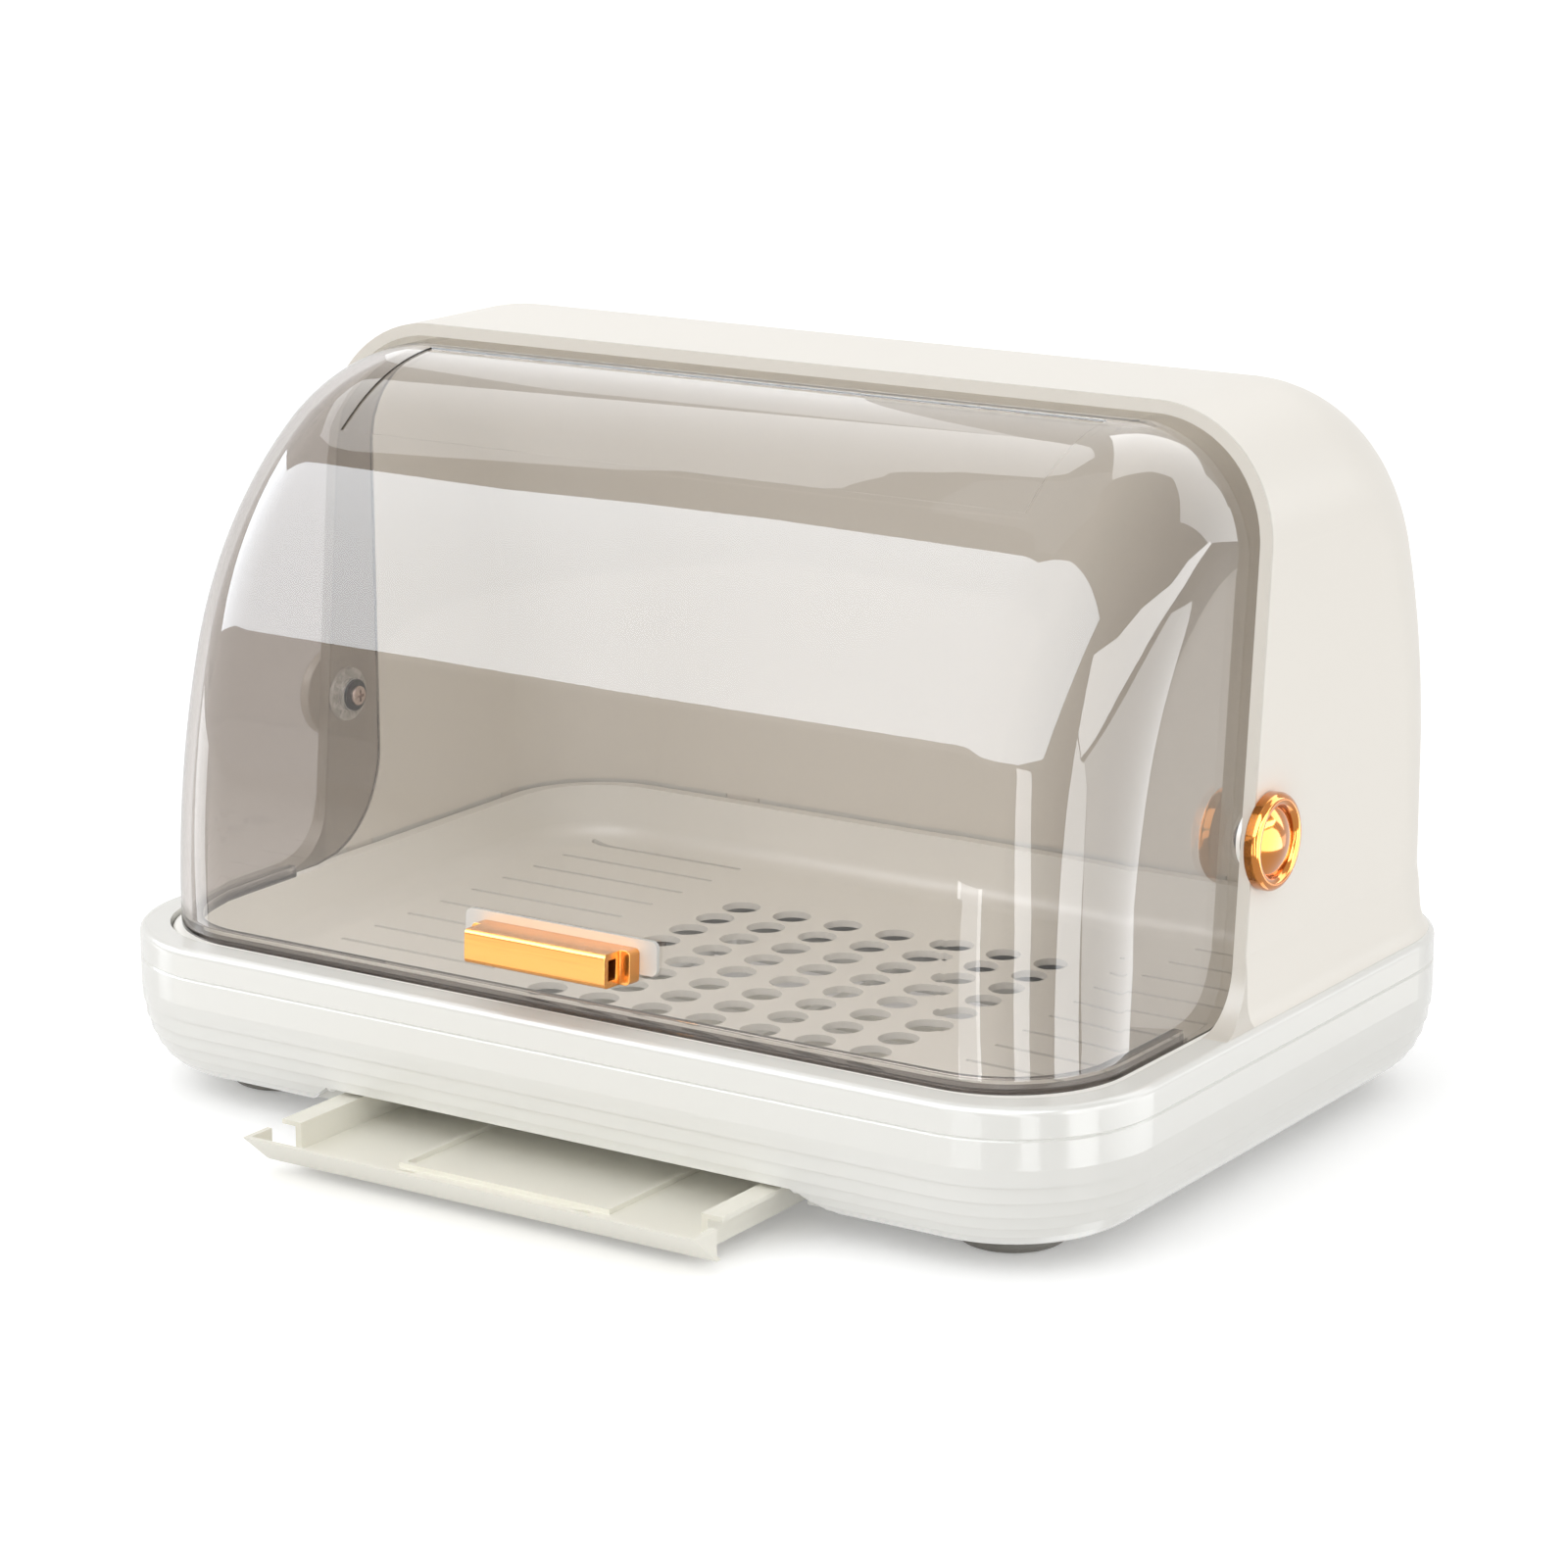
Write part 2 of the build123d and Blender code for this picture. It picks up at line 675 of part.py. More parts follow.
handle_screw_seat = handle_plane.offset(-lid_wall - handle_screw_seat_gap)
handle_screw_parts = [
    pan_head_screw(
        Plane(handle_screw_seat.origin + Vector(x, 0, 0), x_dir=(1, 0, 0), z_dir=-handle_screw_seat.z_dir),
        handle_screw_radius,
        lid_wall + plate_thickness + handle_screw_bite,
        handle_screw_head_radius,
        handle_screw_head_height,
    )
    for x in (-handle_screw_spread, handle_screw_spread)
]
finish(Compound(children=handle_screw_parts), "handle_screws")

# Drain tray: pan with a coved floor, hung by a hollow bead on the rim's ledge
pan_inside = tray_inset + tray_bead_width
pan_outside = pan_inside - tray_thickness

with BuildPart() as tray_hollow:
    add(plan_block(pan_inside, tray_floor, tray_rim_top))
    fillet(tray_hollow.faces().sort_by(Axis.Z)[0].edges(), radius=tray_cove)

with BuildPart() as drain_tray:
    add(plan_block(pan_outside, tray_floor - tray_thickness, tray_rim_top - tray_bead_thickness))
    fillet(drain_tray.faces().sort_by(Axis.Z)[0].edges(), radius=tray_cove + tray_thickness)
    add(plan_block(tray_inset, ledge_top, tray_rim_top))
    fillet(drain_tray.faces().sort_by(Axis.Z)[-1].edges(), radius=tray_bead_round)
    with BuildSketch(Plane.XY.offset(ledge_top)):
        add(plan(tray_inset + tray_skirt_thickness, ledge_top))
        add(plan(pan_outside, ledge_top), mode=Mode.SUBTRACT)
    extrude(amount=tray_rim_top - tray_bead_thickness - ledge_top, mode=Mode.SUBTRACT)
    add(tray_hollow.part, mode=Mode.SUBTRACT)
    with BuildSketch(Plane.XY.offset(tray_floor - tray_thickness)):
        with Locations((0, front_y + drain_middle)):
            with GridLocations(drain_pitch_x, drain_pitch_y, drain_columns, drain_rows):
                Circle(drain_hole_radius)
        with Locations((0, front_y + slot_middle)):
            with GridLocations(2 * slot_outer_end - slot_length, slot_pitch, 2, slot_count):
                SlotOverall(slot_length, slot_width)
    extrude(amount=tray_thickness + tray_cove, mode=Mode.SUBTRACT)
finish(drain_tray.part, "drain_tray")

# Drip drawer: shallow tray with side flanges, a sloping lip with gussets and a ribbed floor
lip_y = front_y - drawer_reach
drawer_y = lip_y + drawer_front_gap
drawer_rear = drawer_y + drawer_length
drawer_floor_top = drawer_floor + drawer_floor_thickness
lip_lean = lip_slope / (lip_top - lip_bottom)
rib_start = drawer_y + panel_inset

with BuildPart() as drip_drawer:
    with BuildSketch(Plane.YZ.offset(-drawer_half_width)):
        Polygon(
            (lip_y + lip_lean * (lip_top - drawer_floor), drawer_floor),
            (drawer_rear, drawer_floor),
            (drawer_rear, drawer_floor_top),
            (lip_y + lip_lean * (lip_top - drawer_floor_top), drawer_floor_top),
            align=None,
        )
    extrude(amount=2 * drawer_half_width)
    with BuildSketch(Plane.XY.offset(drawer_floor)):
        with Locations((0, (drawer_y + drawer_rear) / 2)):
            Rectangle(2 * drawer_half_width, drawer_length)
        with Locations((0, (drawer_y + drawer_rear - drawer_wall) / 2)):
            Rectangle(
                2 * (drawer_half_width - drawer_wall), drawer_length - drawer_wall, mode=Mode.SUBTRACT
            )
    extrude(amount=drawer_top - drawer_floor)
    with BuildSketch(Plane.XY.offset(drawer_top - flange_thickness)):
        for side in (-1, 1):
            with Locations((side * (drawer_half_width + flange_width / 2), (drawer_y + drawer_rear) / 2)):
                Rectangle(flange_width, drawer_length)
    extrude(amount=flange_thickness)
    with BuildSketch(Plane.YZ.offset(-lip_half_width)):
        Polygon(
            (lip_y, lip_top),
            (lip_y + lip_slope, lip_bottom),
            (lip_y + lip_slope + lip_plate, lip_bottom),
            (lip_y + lip_plate, lip_top),
            align=None,
        )
    extrude(amount=2 * lip_half_width)
    for start in (-lip_half_width, lip_half_width - lip_gusset):
        with BuildSketch(Plane.YZ.offset(start)):
            Polygon(
                (lip_y, lip_top),
                (lip_y + lip_slope, lip_bottom),
                (lip_y + lip_slope, lip_top),
                align=None,
            )
        extrude(amount=lip_gusset)
    for middle in (-lip_tab_spread, lip_tab_spread):
        with BuildSketch(Plane.YZ.offset(middle - lip_tab_thickness / 2)):
            Polygon(
                (lip_y + lip_plate / 2, lip_top),
                (lip_y + lip_plate / 2 + lip_slope, drawer_floor_top),
                (lip_y + lip_plate / 2 + lip_slope + lip_tab_length, drawer_floor_top),
                align=None,
            )
        extrude(amount=lip_tab_thickness)
    with BuildSketch(Plane.XY.offset(drawer_floor_top)):
        with Locations((0, (rib_start + drawer_rear) / 2)):
            Rectangle(2 * panel_rib_spread + panel_rib_width, drawer_rear - rib_start)
        with Locations((0, (rib_start + panel_rib_width + drawer_rear) / 2)):
            Rectangle(
                2 * panel_rib_spread - panel_rib_width,
                drawer_rear - rib_start - panel_rib_width,
                mode=Mode.SUBTRACT,
            )
    extrude(amount=panel_rib_height)
finish(drip_drawer.part, "drip_drawer")

# Runners: rails under the bay's roof that carry the drawer's flanges, and their screws
rail_top = drawer_top - flange_thickness - runner_gap

for side, hand in ((-1, "left"), (1, "right")):
    with BuildPart() as runner:
        with BuildSketch(Plane.XZ.offset(-runner_front)):
            with Locations((side * (bay_half_width - runner_width / 2), rail_top - runner_height / 2)):
                Rectangle(runner_width, runner_height)
            with Locations((side * (bay_half_width - runner_web / 2), (rail_top + bay_top) / 2)):
                Rectangle(runner_web, bay_top - rail_top)
        extrude(amount=-runner_length)
        tip = runner.edges().filter_by(Axis.X).group_by(Axis.Y)[0].sort_by(Axis.Z)[0]
        fillet(tip, radius=runner_round)
        with BuildSketch(Plane.XY.offset(bay_top)):
            with Locations([(side * runner_screw_x, y) for y in runner_screw_y]):
                Circle(runner_screw_radius + screw_gap)
        extrude(amount=-runner_screw_bite, mode=Mode.SUBTRACT)
    finish(runner.part, "drawer_runner_" + hand)

runner_screw_parts = [
    pan_head_screw(
        Plane((side * runner_screw_x, y, bay_roof)),
        runner_screw_radius,
        bay_wall + runner_screw_bite,
        runner_screw_head_radius,
        runner_screw_head_height,
    )
    for side in (-1, 1)
    for y in runner_screw_y
]
finish(Compound(children=runner_screw_parts), "runner_screws")

# Feet: rubber pads with a stem pushed through the tub's floor and a head above it
for place, (x, y) in foot_places.items():
    with BuildPart() as foot:
        with BuildSketch(Plane((x, y, 0), x_dir=(1, 0, 0), z_dir=(0, -1, 0))):
            with BuildLine():
                Polyline(
                    (foot_radius, foot_round),
                    (foot_radius - foot_draft, tub_bottom),
                    (foot_stem_radius, tub_bottom),
                    (foot_stem_radius, floor_top),
                    (foot_head_radius, floor_top),
                    (foot_stem_radius, floor_top + foot_head_height),
                    (0, floor_top + foot_head_height),
                    (0, 0),
                    (foot_radius - foot_round, 0),
                )
                RadiusArc((foot_radius, foot_round), (foot_radius - foot_round, 0), foot_round)
            make_face()
        revolve(axis=Axis((x, y, 0), (0, 0, 1)))
    finish(foot.part, "foot_" + place)
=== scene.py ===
import bmesh
import bpy
import numpy as np
from mathutils import Matrix, Vector


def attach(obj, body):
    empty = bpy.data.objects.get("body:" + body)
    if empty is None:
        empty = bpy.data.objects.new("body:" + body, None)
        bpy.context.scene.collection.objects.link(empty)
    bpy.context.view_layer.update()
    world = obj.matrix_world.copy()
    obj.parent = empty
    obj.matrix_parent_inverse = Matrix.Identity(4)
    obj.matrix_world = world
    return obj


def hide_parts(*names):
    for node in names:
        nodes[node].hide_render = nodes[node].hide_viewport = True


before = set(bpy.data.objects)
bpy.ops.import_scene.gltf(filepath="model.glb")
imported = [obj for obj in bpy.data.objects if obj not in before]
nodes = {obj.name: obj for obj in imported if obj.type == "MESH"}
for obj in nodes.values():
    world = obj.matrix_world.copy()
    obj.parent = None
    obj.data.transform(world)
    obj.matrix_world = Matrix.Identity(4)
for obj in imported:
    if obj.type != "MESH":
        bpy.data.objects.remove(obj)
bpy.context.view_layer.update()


# Base: tub and rim are moulded from one cream glossy plastic, snapped together along a fine parting line.
# The moulds leave a nearly flawless gloss with a faint swell that shows only in reflections.
def display(red, green, blue):
    """Scene-linear colour of an 8-bit display colour: each channel goes through the sRGB curve."""
    share = np.array([red, green, blue]) / 255
    linear = np.where(share <= 0.04045, share / 12.92, ((share + 0.055) / 1.055) ** 2.4)
    return (*linear, 1.0)


def new_material(name):
    """Empty node material with one Principled shader wired to its output."""
    material = bpy.data.materials.new(name)
    material.use_nodes = True
    tree = material.node_tree
    tree.nodes.clear()
    shader = tree.nodes.new("ShaderNodeBsdfPrincipled")
    output = tree.nodes.new("ShaderNodeOutputMaterial")
    tree.links.new(shader.outputs[0], output.inputs["Surface"])
    return material, tree, shader


def moulded_group():
    """Node group of a moulded surface: colour drift, gloss drift and a low swell with a fine grain on it."""
    group = bpy.data.node_groups.new("moulded_surface", "ShaderNodeTree")
    for name, kind, value in (
        ("Color", "NodeSocketColor", (0.8, 0.8, 0.8, 1.0)),
        ("Drift", "NodeSocketFloat", 0.02),
        ("Roughness", "NodeSocketFloat", 0.2),
        ("Roughness Drift", "NodeSocketFloat", 0.05),
        ("Swell", "NodeSocketFloat", 0.5),
        ("Grain", "NodeSocketFloat", 0.1),
        ("Grain Scale", "NodeSocketFloat", 900.0),
    ):
        group.interface.new_socket(name, in_out="INPUT", socket_type=kind).default_value = value
    group.interface.new_socket("Color", in_out="OUTPUT", socket_type="NodeSocketColor")
    group.interface.new_socket("Roughness", in_out="OUTPUT", socket_type="NodeSocketFloat")
    group.interface.new_socket("Height", in_out="OUTPUT", socket_type="NodeSocketFloat")
    add, link = group.nodes.new, group.links.new
    given = add("NodeGroupInput")
    place = add("ShaderNodeTexCoord")

    def noise(scale, detail):
        texture = add("ShaderNodeTexNoise")
        texture.inputs["Detail"].default_value = detail
        if isinstance(scale, float):
            texture.inputs["Scale"].default_value = scale
        else:
            link(scale, texture.inputs["Scale"])
        link(place.outputs["Object"], texture.inputs["Vector"])
        return texture.outputs[0]

    def math(operation, first, second):
        step = add("ShaderNodeMath")
        step.operation = operation
        for socket, value in zip(step.inputs, (first, second)):
            if isinstance(value, (int, float)):
                socket.default_value = value
            else:
                link(value, socket)
        return step.outputs[0]

    drift_scale, swell_scale = 14.0, 22.0
    broad = math("SUBTRACT", noise(drift_scale, 3.0), 0.5)
    fine = noise(given.outputs["Grain Scale"], 2.0)
    swell = noise(swell_scale, 0.0)
    tone = add("ShaderNodeHueSaturation")
    link(given.outputs["Color"], tone.inputs["Color"])
    link(math("ADD", math("MULTIPLY", broad, given.outputs["Drift"]), 1.0), tone.inputs["Value"])
    rough = math("ADD", math("MULTIPLY", broad, given.outputs["Roughness Drift"]), given.outputs["Roughness"])
    height = math("ADD", math("MULTIPLY", swell, given.outputs["Swell"]),
                  math("MULTIPLY", fine, given.outputs["Grain"]))
    result = add("NodeGroupOutput")
    link(tone.outputs["Color"], result.inputs["Color"])
    link(rough, result.inputs["Roughness"])
    link(height, result.inputs["Height"])
    return group


moulded = moulded_group()


def moulded_material(name, color, roughness, drift=0.02, gloss_drift=0.05, swell=0.5, grain=0.05,
                     grain_scale=900.0, relief=0.00008):
    """Principled material whose colour, roughness and bump come from the moulded surface group."""
    material, tree, shader = new_material(name)
    surface = tree.nodes.new("ShaderNodeGroup")
    surface.node_tree = moulded
    surface.inputs["Color"].default_value = color
    surface.inputs["Drift"].default_value = drift
    surface.inputs["Roughness"].default_value = roughness
    surface.inputs["Roughness Drift"].default_value = gloss_drift
    surface.inputs["Swell"].default_value = swell
    surface.inputs["Grain"].default_value = grain
    surface.inputs["Grain Scale"].default_value = grain_scale
    bump = tree.nodes.new("ShaderNodeBump")
    bump.inputs["Distance"].default_value = relief
    tree.links.new(surface.outputs["Color"], shader.inputs["Base Color"])
    tree.links.new(surface.outputs["Roughness"], shader.inputs["Roughness"])
    tree.links.new(surface.outputs["Height"], bump.inputs["Height"])
    tree.links.new(bump.outputs["Normal"], shader.inputs["Normal"])
    return material, tree, shader


def dress(names, material):
    """Gives the named CAD nodes this material in place of the one they came with."""
    for name in names:
        nodes[name].data.materials.clear()
        nodes[name].data.materials.append(material)


base_plastic, _, base_shader = moulded_material("base_plastic", display(228, 227, 222), roughness=0.2)
base_shader.inputs["Specular IOR Level"].default_value = 0.36
base_shader.inputs["Coat Weight"].default_value = 0.18
base_shader.inputs["Coat Roughness"].default_value = 0.08
dress(["base_tub", "base_rim"], base_plastic)

# Feet: grey rubber pads pushed through holes in the tub's floor.
# They are matt, with the fine pits that a rubber mould leaves.
foot_rubber, _, _ = moulded_material(
    "foot_rubber", display(128, 125, 118), roughness=0.7, drift=0.2, grain=0.6, grain_scale=1400.0
)
dress([name for name in nodes if name.startswith("foot_")], foot_rubber)

# Drip drawer, its runners and their screws: the drawer is cream plastic with a satin surface.
# It slides on two white rails screwed under the bay's roof.
drawer_plastic, _, _ = moulded_material("drawer_plastic", display(232, 229, 217), roughness=0.38, grain=0.3)
dress(["drip_drawer"], drawer_plastic)
runner_plastic, _, _ = moulded_material("runner_plastic", display(228, 226, 220), roughness=0.45)
dress(["drawer_runner_left", "drawer_runner_right"], runner_plastic)
screw_steel, _, steel_shader = moulded_material(
    "screw_steel", display(196, 178, 168), roughness=0.24, drift=0.1, grain=0.4, grain_scale=2600.0
)
steel_shader.inputs["Metallic"].default_value = 1.0
dress(["runner_screws", "handle_screws", "pivot_screw_left", "pivot_screw_right"], screw_steel)

# Drain tray: one satin cream moulding that lies inside the base, with round holes and side slots.
# It is lifted out to be washed, so it stays plain.
tray_plastic, _, _ = moulded_material("tray_plastic", display(247, 245, 239), roughness=0.34, grain=0.25)
dress(["drain_tray"], tray_plastic)

# Hood: the rear cover, cream with a silky gloss, pressed onto the rim.
# Its cut front edge carries a painted shade: near its front plane the colour turns to a greyer tone that
# stands in for the shade on that face.
# The front edge's plane, and how far behind it the painted shade stays full before it fades out.
hood_lean_start, hood_lean_foot, hood_lean = -0.00175, 0.048, 15.0 / 162.0
hood_edge_front = hood_lean_start - hood_lean * hood_lean_foot
hood_edge_shade_depth, hood_edge_shade_end = 0.0004, 0.001
hood_plastic, _, _ = moulded_material("hood_plastic", display(232, 227, 218), roughness=0.38)
hood_edge_shaded, hood_tree, hood_shader = moulded_material("hood_edge_shaded", display(232, 227, 218), roughness=0.38)
hood_shader.inputs["Specular IOR Level"].default_value = 0.3
hood_place = hood_tree.nodes.new("ShaderNodeTexCoord")
hood_axes = hood_tree.nodes.new("ShaderNodeSeparateXYZ")
hood_slope = hood_tree.nodes.new("ShaderNodeMath")
hood_slope.operation = "MULTIPLY_ADD"
hood_slope.inputs[1].default_value = -hood_lean
hood_behind = hood_tree.nodes.new("ShaderNodeMapRange")
hood_behind.inputs["From Min"].default_value = hood_edge_front + hood_edge_shade_depth
hood_behind.inputs["From Max"].default_value = hood_edge_front + hood_edge_shade_end
hood_shade_tone = hood_tree.nodes.new("ShaderNodeMix")
hood_shade_tone.data_type = "RGBA"
link = hood_tree.links.new
link(hood_place.outputs["Object"], hood_axes.inputs[0])
link(hood_axes.outputs["Z"], hood_slope.inputs[0])
link(hood_axes.outputs["Y"], hood_slope.inputs[2])
link(hood_slope.outputs[0], hood_behind.inputs["Value"])
link(hood_behind.outputs[0], hood_shade_tone.inputs[0])
# Painted shade: this greyer tone on the hood's front edge stands in for the shade on that face, not a
# different plastic.
hood_shade_tone.inputs[6].default_value = display(209, 203, 193)
link(hood_shader.inputs["Base Color"].links[0].from_socket, hood_shade_tone.inputs[7])
link(hood_shade_tone.outputs[2], hood_shader.inputs["Base Color"])
dress(["hood"], hood_edge_shaded)

# Lid: smoke-tinted clear plastic, three millimetres thick, moulded in one piece with its two side ears.
# A lip runs inside its lower edge, a shallow panel is sunk in its crown, and it is drilled for its fittings.
# The tint is in the plastic itself, so the cut foot of the lip, seen through its whole depth, is darker; the
# foot's much darker tint is also a painted contact shadow where the lid sits on the rim.
lid_half, lid_round, lid_wall = 0.1525, 0.035, 0.003
lid_front, lid_foot, lid_rear = -0.08975, 0.0475, 0.02325
lid_rise, lid_edge, ear_round = 0.0055, 0.0004, 0.031
lip_height, lip_depth, lip_end, foot_band = 0.0035, 0.003, -0.02175, 0.0018
panel_half, panel_start, panel_end, panel_sink = 0.112, -0.03925, 0.00275, 0.0005
pivot_y, pivot_z = 0.01075, 0.096
# Each arc of the side line has its middle's y and z and its radius. The turns are where two arcs meet.
crown_arcs = ((0.17155, 0.053, 0.2613), (0.0377, 0.0934, 0.1215), (0.0078, 0.1356, 0.0698))
crown_turns = np.radians([0.0, 16.8, 54.7, 90.0])
low_steps, crown_steps, top_steps, level_steps = 24, 36, 36, 5
# The upright run has six rows and the lip covers its first three. The panel's ends step up within small turns.
upright_rows, lip_rows, above_lip = 6, 3, 0.001
panel_end_turns, panel_end_steps = (0.0041, 0.0072), (5, 4)
panel_columns, corner_columns, ear_columns = 13, 24, 10


def lid_side_line():
    """Rows of the lid's side line from foot to rear edge: places (y, z) and outward directions.

    An upright run, three arcs that carry on each other's direction, and a level run. On an arc about (y0, z0)
    with radius r the point at turn t is (y0 - r cos t, z0 + r sin t), with the outward direction
    (-cos t, sin t). The rows at the lip's top and at the panel's two ends come in close pairs, so that a step
    can stand there.
    """
    rise = lid_foot + np.array([lid_edge, foot_band, lip_height, lip_height, lip_height + above_lip, lid_rise])
    places = [np.column_stack([np.full(len(rise), lid_front), rise])]
    outward = [np.tile([-1.0, 0.0], (len(rise), 1))]
    panel_turns = [
        np.arccos((crown_arcs[1][0] - panel_start) / crown_arcs[1][2]),
        np.arccos((crown_arcs[2][0] - panel_end) / crown_arcs[2][2]),
    ]
    runs = (
        (0, crown_turns[0], crown_turns[1], low_steps, False),
        (1, crown_turns[1], panel_turns[0], crown_steps, False),
        (1, panel_turns[0] + panel_end_turns[0], crown_turns[2], panel_end_steps[0], True),
        (2, crown_turns[2], panel_turns[1], top_steps, False),
        (2, panel_turns[1] + panel_end_turns[1], crown_turns[3], panel_end_steps[1], True),
    )
    for arc, low, high, steps, doubled in runs:
        across, up, radius = crown_arcs[arc]
        turn = np.linspace(low, high, steps + 1)[0 if doubled else 1:]
        places.append(np.column_stack([across - radius * np.cos(turn), up + radius * np.sin(turn)]))
        outward.append(np.column_stack([-np.cos(turn), np.sin(turn)]))
    level = np.linspace(places[-1][-1, 0], lid_rear - lid_edge, level_steps + 1)[1:]
    places.append(np.column_stack([level, np.full(level_steps, places[-1][-1, 1])]))
    outward.append(np.tile([0.0, 1.0], (level_steps, 1)))
    panel_rows = (sum(map(len, places[:3])), sum(map(len, places[:5])))
    return np.concatenate(places), np.concatenate(outward), panel_rows


def lid_ear_line(places):
    """Rear and lower outline of the ear, one point for each row of the side line, drawn in by the edge round.

    Up to the top of the upright run the point has the row's own height on the ear's round. From there the
    points follow the rest of the round and the straight rear edge, in step with the side line's length.
    """
    centre = np.array([lid_rear - ear_round, lid_foot + ear_round])
    radius = ear_round - lid_edge
    low = places[:upright_rows, 1]
    out = np.sqrt(np.maximum(radius**2 - (centre[1] - low) ** 2, 0))
    line = [np.column_stack([centre[0] + out, low])]
    start = np.arcsin((centre[1] - low[-1]) / radius)
    top = places[-1, 1] - lid_round
    share = np.concatenate([[0.0], np.cumsum(np.hypot(*np.diff(places[upright_rows - 1:], axis=0).T))])
    along = share[1:] / share[-1] * (radius * start + top - centre[1])
    turn = np.maximum(start - along / radius, 0)
    climb = np.maximum(along - radius * start, 0)
    height = centre[1] - radius * np.sin(turn) + climb
    line.append(np.column_stack([centre[0] + radius * np.cos(turn), height]))
    line = np.concatenate(line)
    away = line - centre
    away[line[:, 1] > centre[1]] = (1.0, 0.0)
    return line, away / np.linalg.norm(away, axis=1)[:, None]


def lid_shell():
    """Vertices and faces of the lid as one closed shell.

    Each point has a row on the side line and a column across. With depth d below the outside, corner radius r
    and corner turn p, its x is the flat part's x plus (r - d) sin p, and it lies r - (r - d) cos p inwards
    from the side line. On the ears it then moves by a share of the way to the ear's outline. The outer and
    inner sheets are joined by a rim with rounded edges.
    """
    places, outward, (panel_low, panel_high) = lid_side_line()
    ear, away = lid_ear_line(places)
    flat_end = lid_half - lid_round
    inset = places - lid_round * outward
    flat_columns = panel_columns + 2
    front_columns = flat_columns + corner_columns
    flat = np.append(np.linspace(0, panel_half, panel_columns), [panel_half, flat_end])
    flat = np.append(flat, np.full(corner_columns + 2 * ear_columns, flat_end))
    turn = np.append(np.zeros(flat_columns), np.linspace(0, np.pi / 2, corner_columns + 1)[1:])
    turn = np.append(turn, np.full(2 * ear_columns, np.pi / 2))
    to_lip_end = np.linspace(0, 1, ear_columns + 1)[1:]
    beyond_it = 1 + np.linspace(0, 1, ear_columns)
    share = np.concatenate([np.zeros(front_columns), to_lip_end, beyond_it])
    upright_inset, upright_ear = inset[:upright_rows, 0], ear[:upright_rows, 0]
    lip_share = (lip_end - upright_inset) / (upright_ear - upright_inset)
    lip_share = np.append(lip_share, np.full(len(places) - upright_rows, lip_share[-1]))
    way = np.minimum(share, 1) * lip_share[:, None] + np.maximum(share - 1, 0) * (1 - lip_share[:, None])
    rows, half = len(places), len(flat)
    row, column = np.indices((rows, half))
    sunk = np.where((row >= panel_low) & (row < panel_high) & (column < panel_columns), panel_sink, 0.0)
    deep = lid_wall + np.where((row < lip_rows) & (column < front_columns + ear_columns), lip_depth, 0.0)

    def surface(depth):
        lean = lid_round - (lid_round - depth) * np.cos(turn)
        across = flat + (lid_round - depth) * np.sin(turn)
        spot = places[:, None] - lean[..., None] * outward[:, None]
        spot = spot + way[..., None] * (ear - inset)[:, None]
        right = np.concatenate([across[..., None], spot], axis=2)
        left = right[:, :0:-1] * (-1.0, 1.0, 1.0)
        return np.concatenate([left, right], axis=1)

    columns = 2 * half - 1
    index = np.arange(rows * columns).reshape(rows, columns)
    ring = np.concatenate([index[0], index[1:, -1], index[-1, -2::-1], index[-2:0:-1, 0]])
    push = np.zeros((rows, columns, 3))
    push[:, 0, 1:], push[:, -1, 1:] = away, away
    push[0] = (0.0, 0.0, -1.0)
    push[-1] = (0.0, 1.0, 0.0)
    push = push.reshape(-1, 3)[ring]
    loops = []
    for angle in np.radians([30, 60, 90]):
        loops.append(surface(sunk + lid_edge * (1 - np.cos(angle))).reshape(-1, 3)[ring]
                     + lid_edge * np.sin(angle) * push)
    for angle in np.radians([0, 30, 60]):
        loops.append(surface(deep - lid_edge * (1 - np.sin(angle))).reshape(-1, 3)[ring]
                     + lid_edge * np.cos(angle) * push)
    points = np.concatenate([surface(sunk).reshape(-1, 3), surface(deep).reshape(-1, 3), *loops])
    quads = np.stack([index[:-1, :-1], index[:-1, 1:], index[1:, 1:], index[1:, :-1]], axis=-1).reshape(-1, 4)
    count, length = rows * columns, len(ring)
    bands = [2 * count + step * length + np.arange(length) for step in range(len(loops))]
    bands = [ring, *bands, ring + count]
    rim = [
        np.stack([low, high, np.roll(high, -1), np.roll(low, -1)], axis=1)
        for low, high in zip(bands, bands[1:])
    ]
    return points, np.concatenate([quads, quads[:, ::-1] + count, *rim])


sharp_edge = np.radians(35.0)


def mesh_piece(name, points, faces, material):
    """Closed mesh object: doubles merged, faces turned outwards, smooth except over sharp edges."""
    mesh = bpy.data.meshes.new(name)
    mesh.from_pydata(points.tolist(), [], faces.tolist())
    tidy = bmesh.new()
    tidy.from_mesh(mesh)
    bmesh.ops.remove_doubles(tidy, verts=tidy.verts, dist=2e-7)
    bmesh.ops.dissolve_degenerate(tidy, dist=1e-7, edges=tidy.edges)
    bmesh.ops.recalc_face_normals(tidy, faces=tidy.faces)
    tidy.to_mesh(mesh)
    tidy.free()
    mesh.shade_smooth()
    mesh.set_sharp_from_angle(angle=sharp_edge)
    mesh.materials.append(material)
    piece = bpy.data.objects.new(name, mesh)
    bpy.context.scene.collection.objects.link(piece)
    return piece


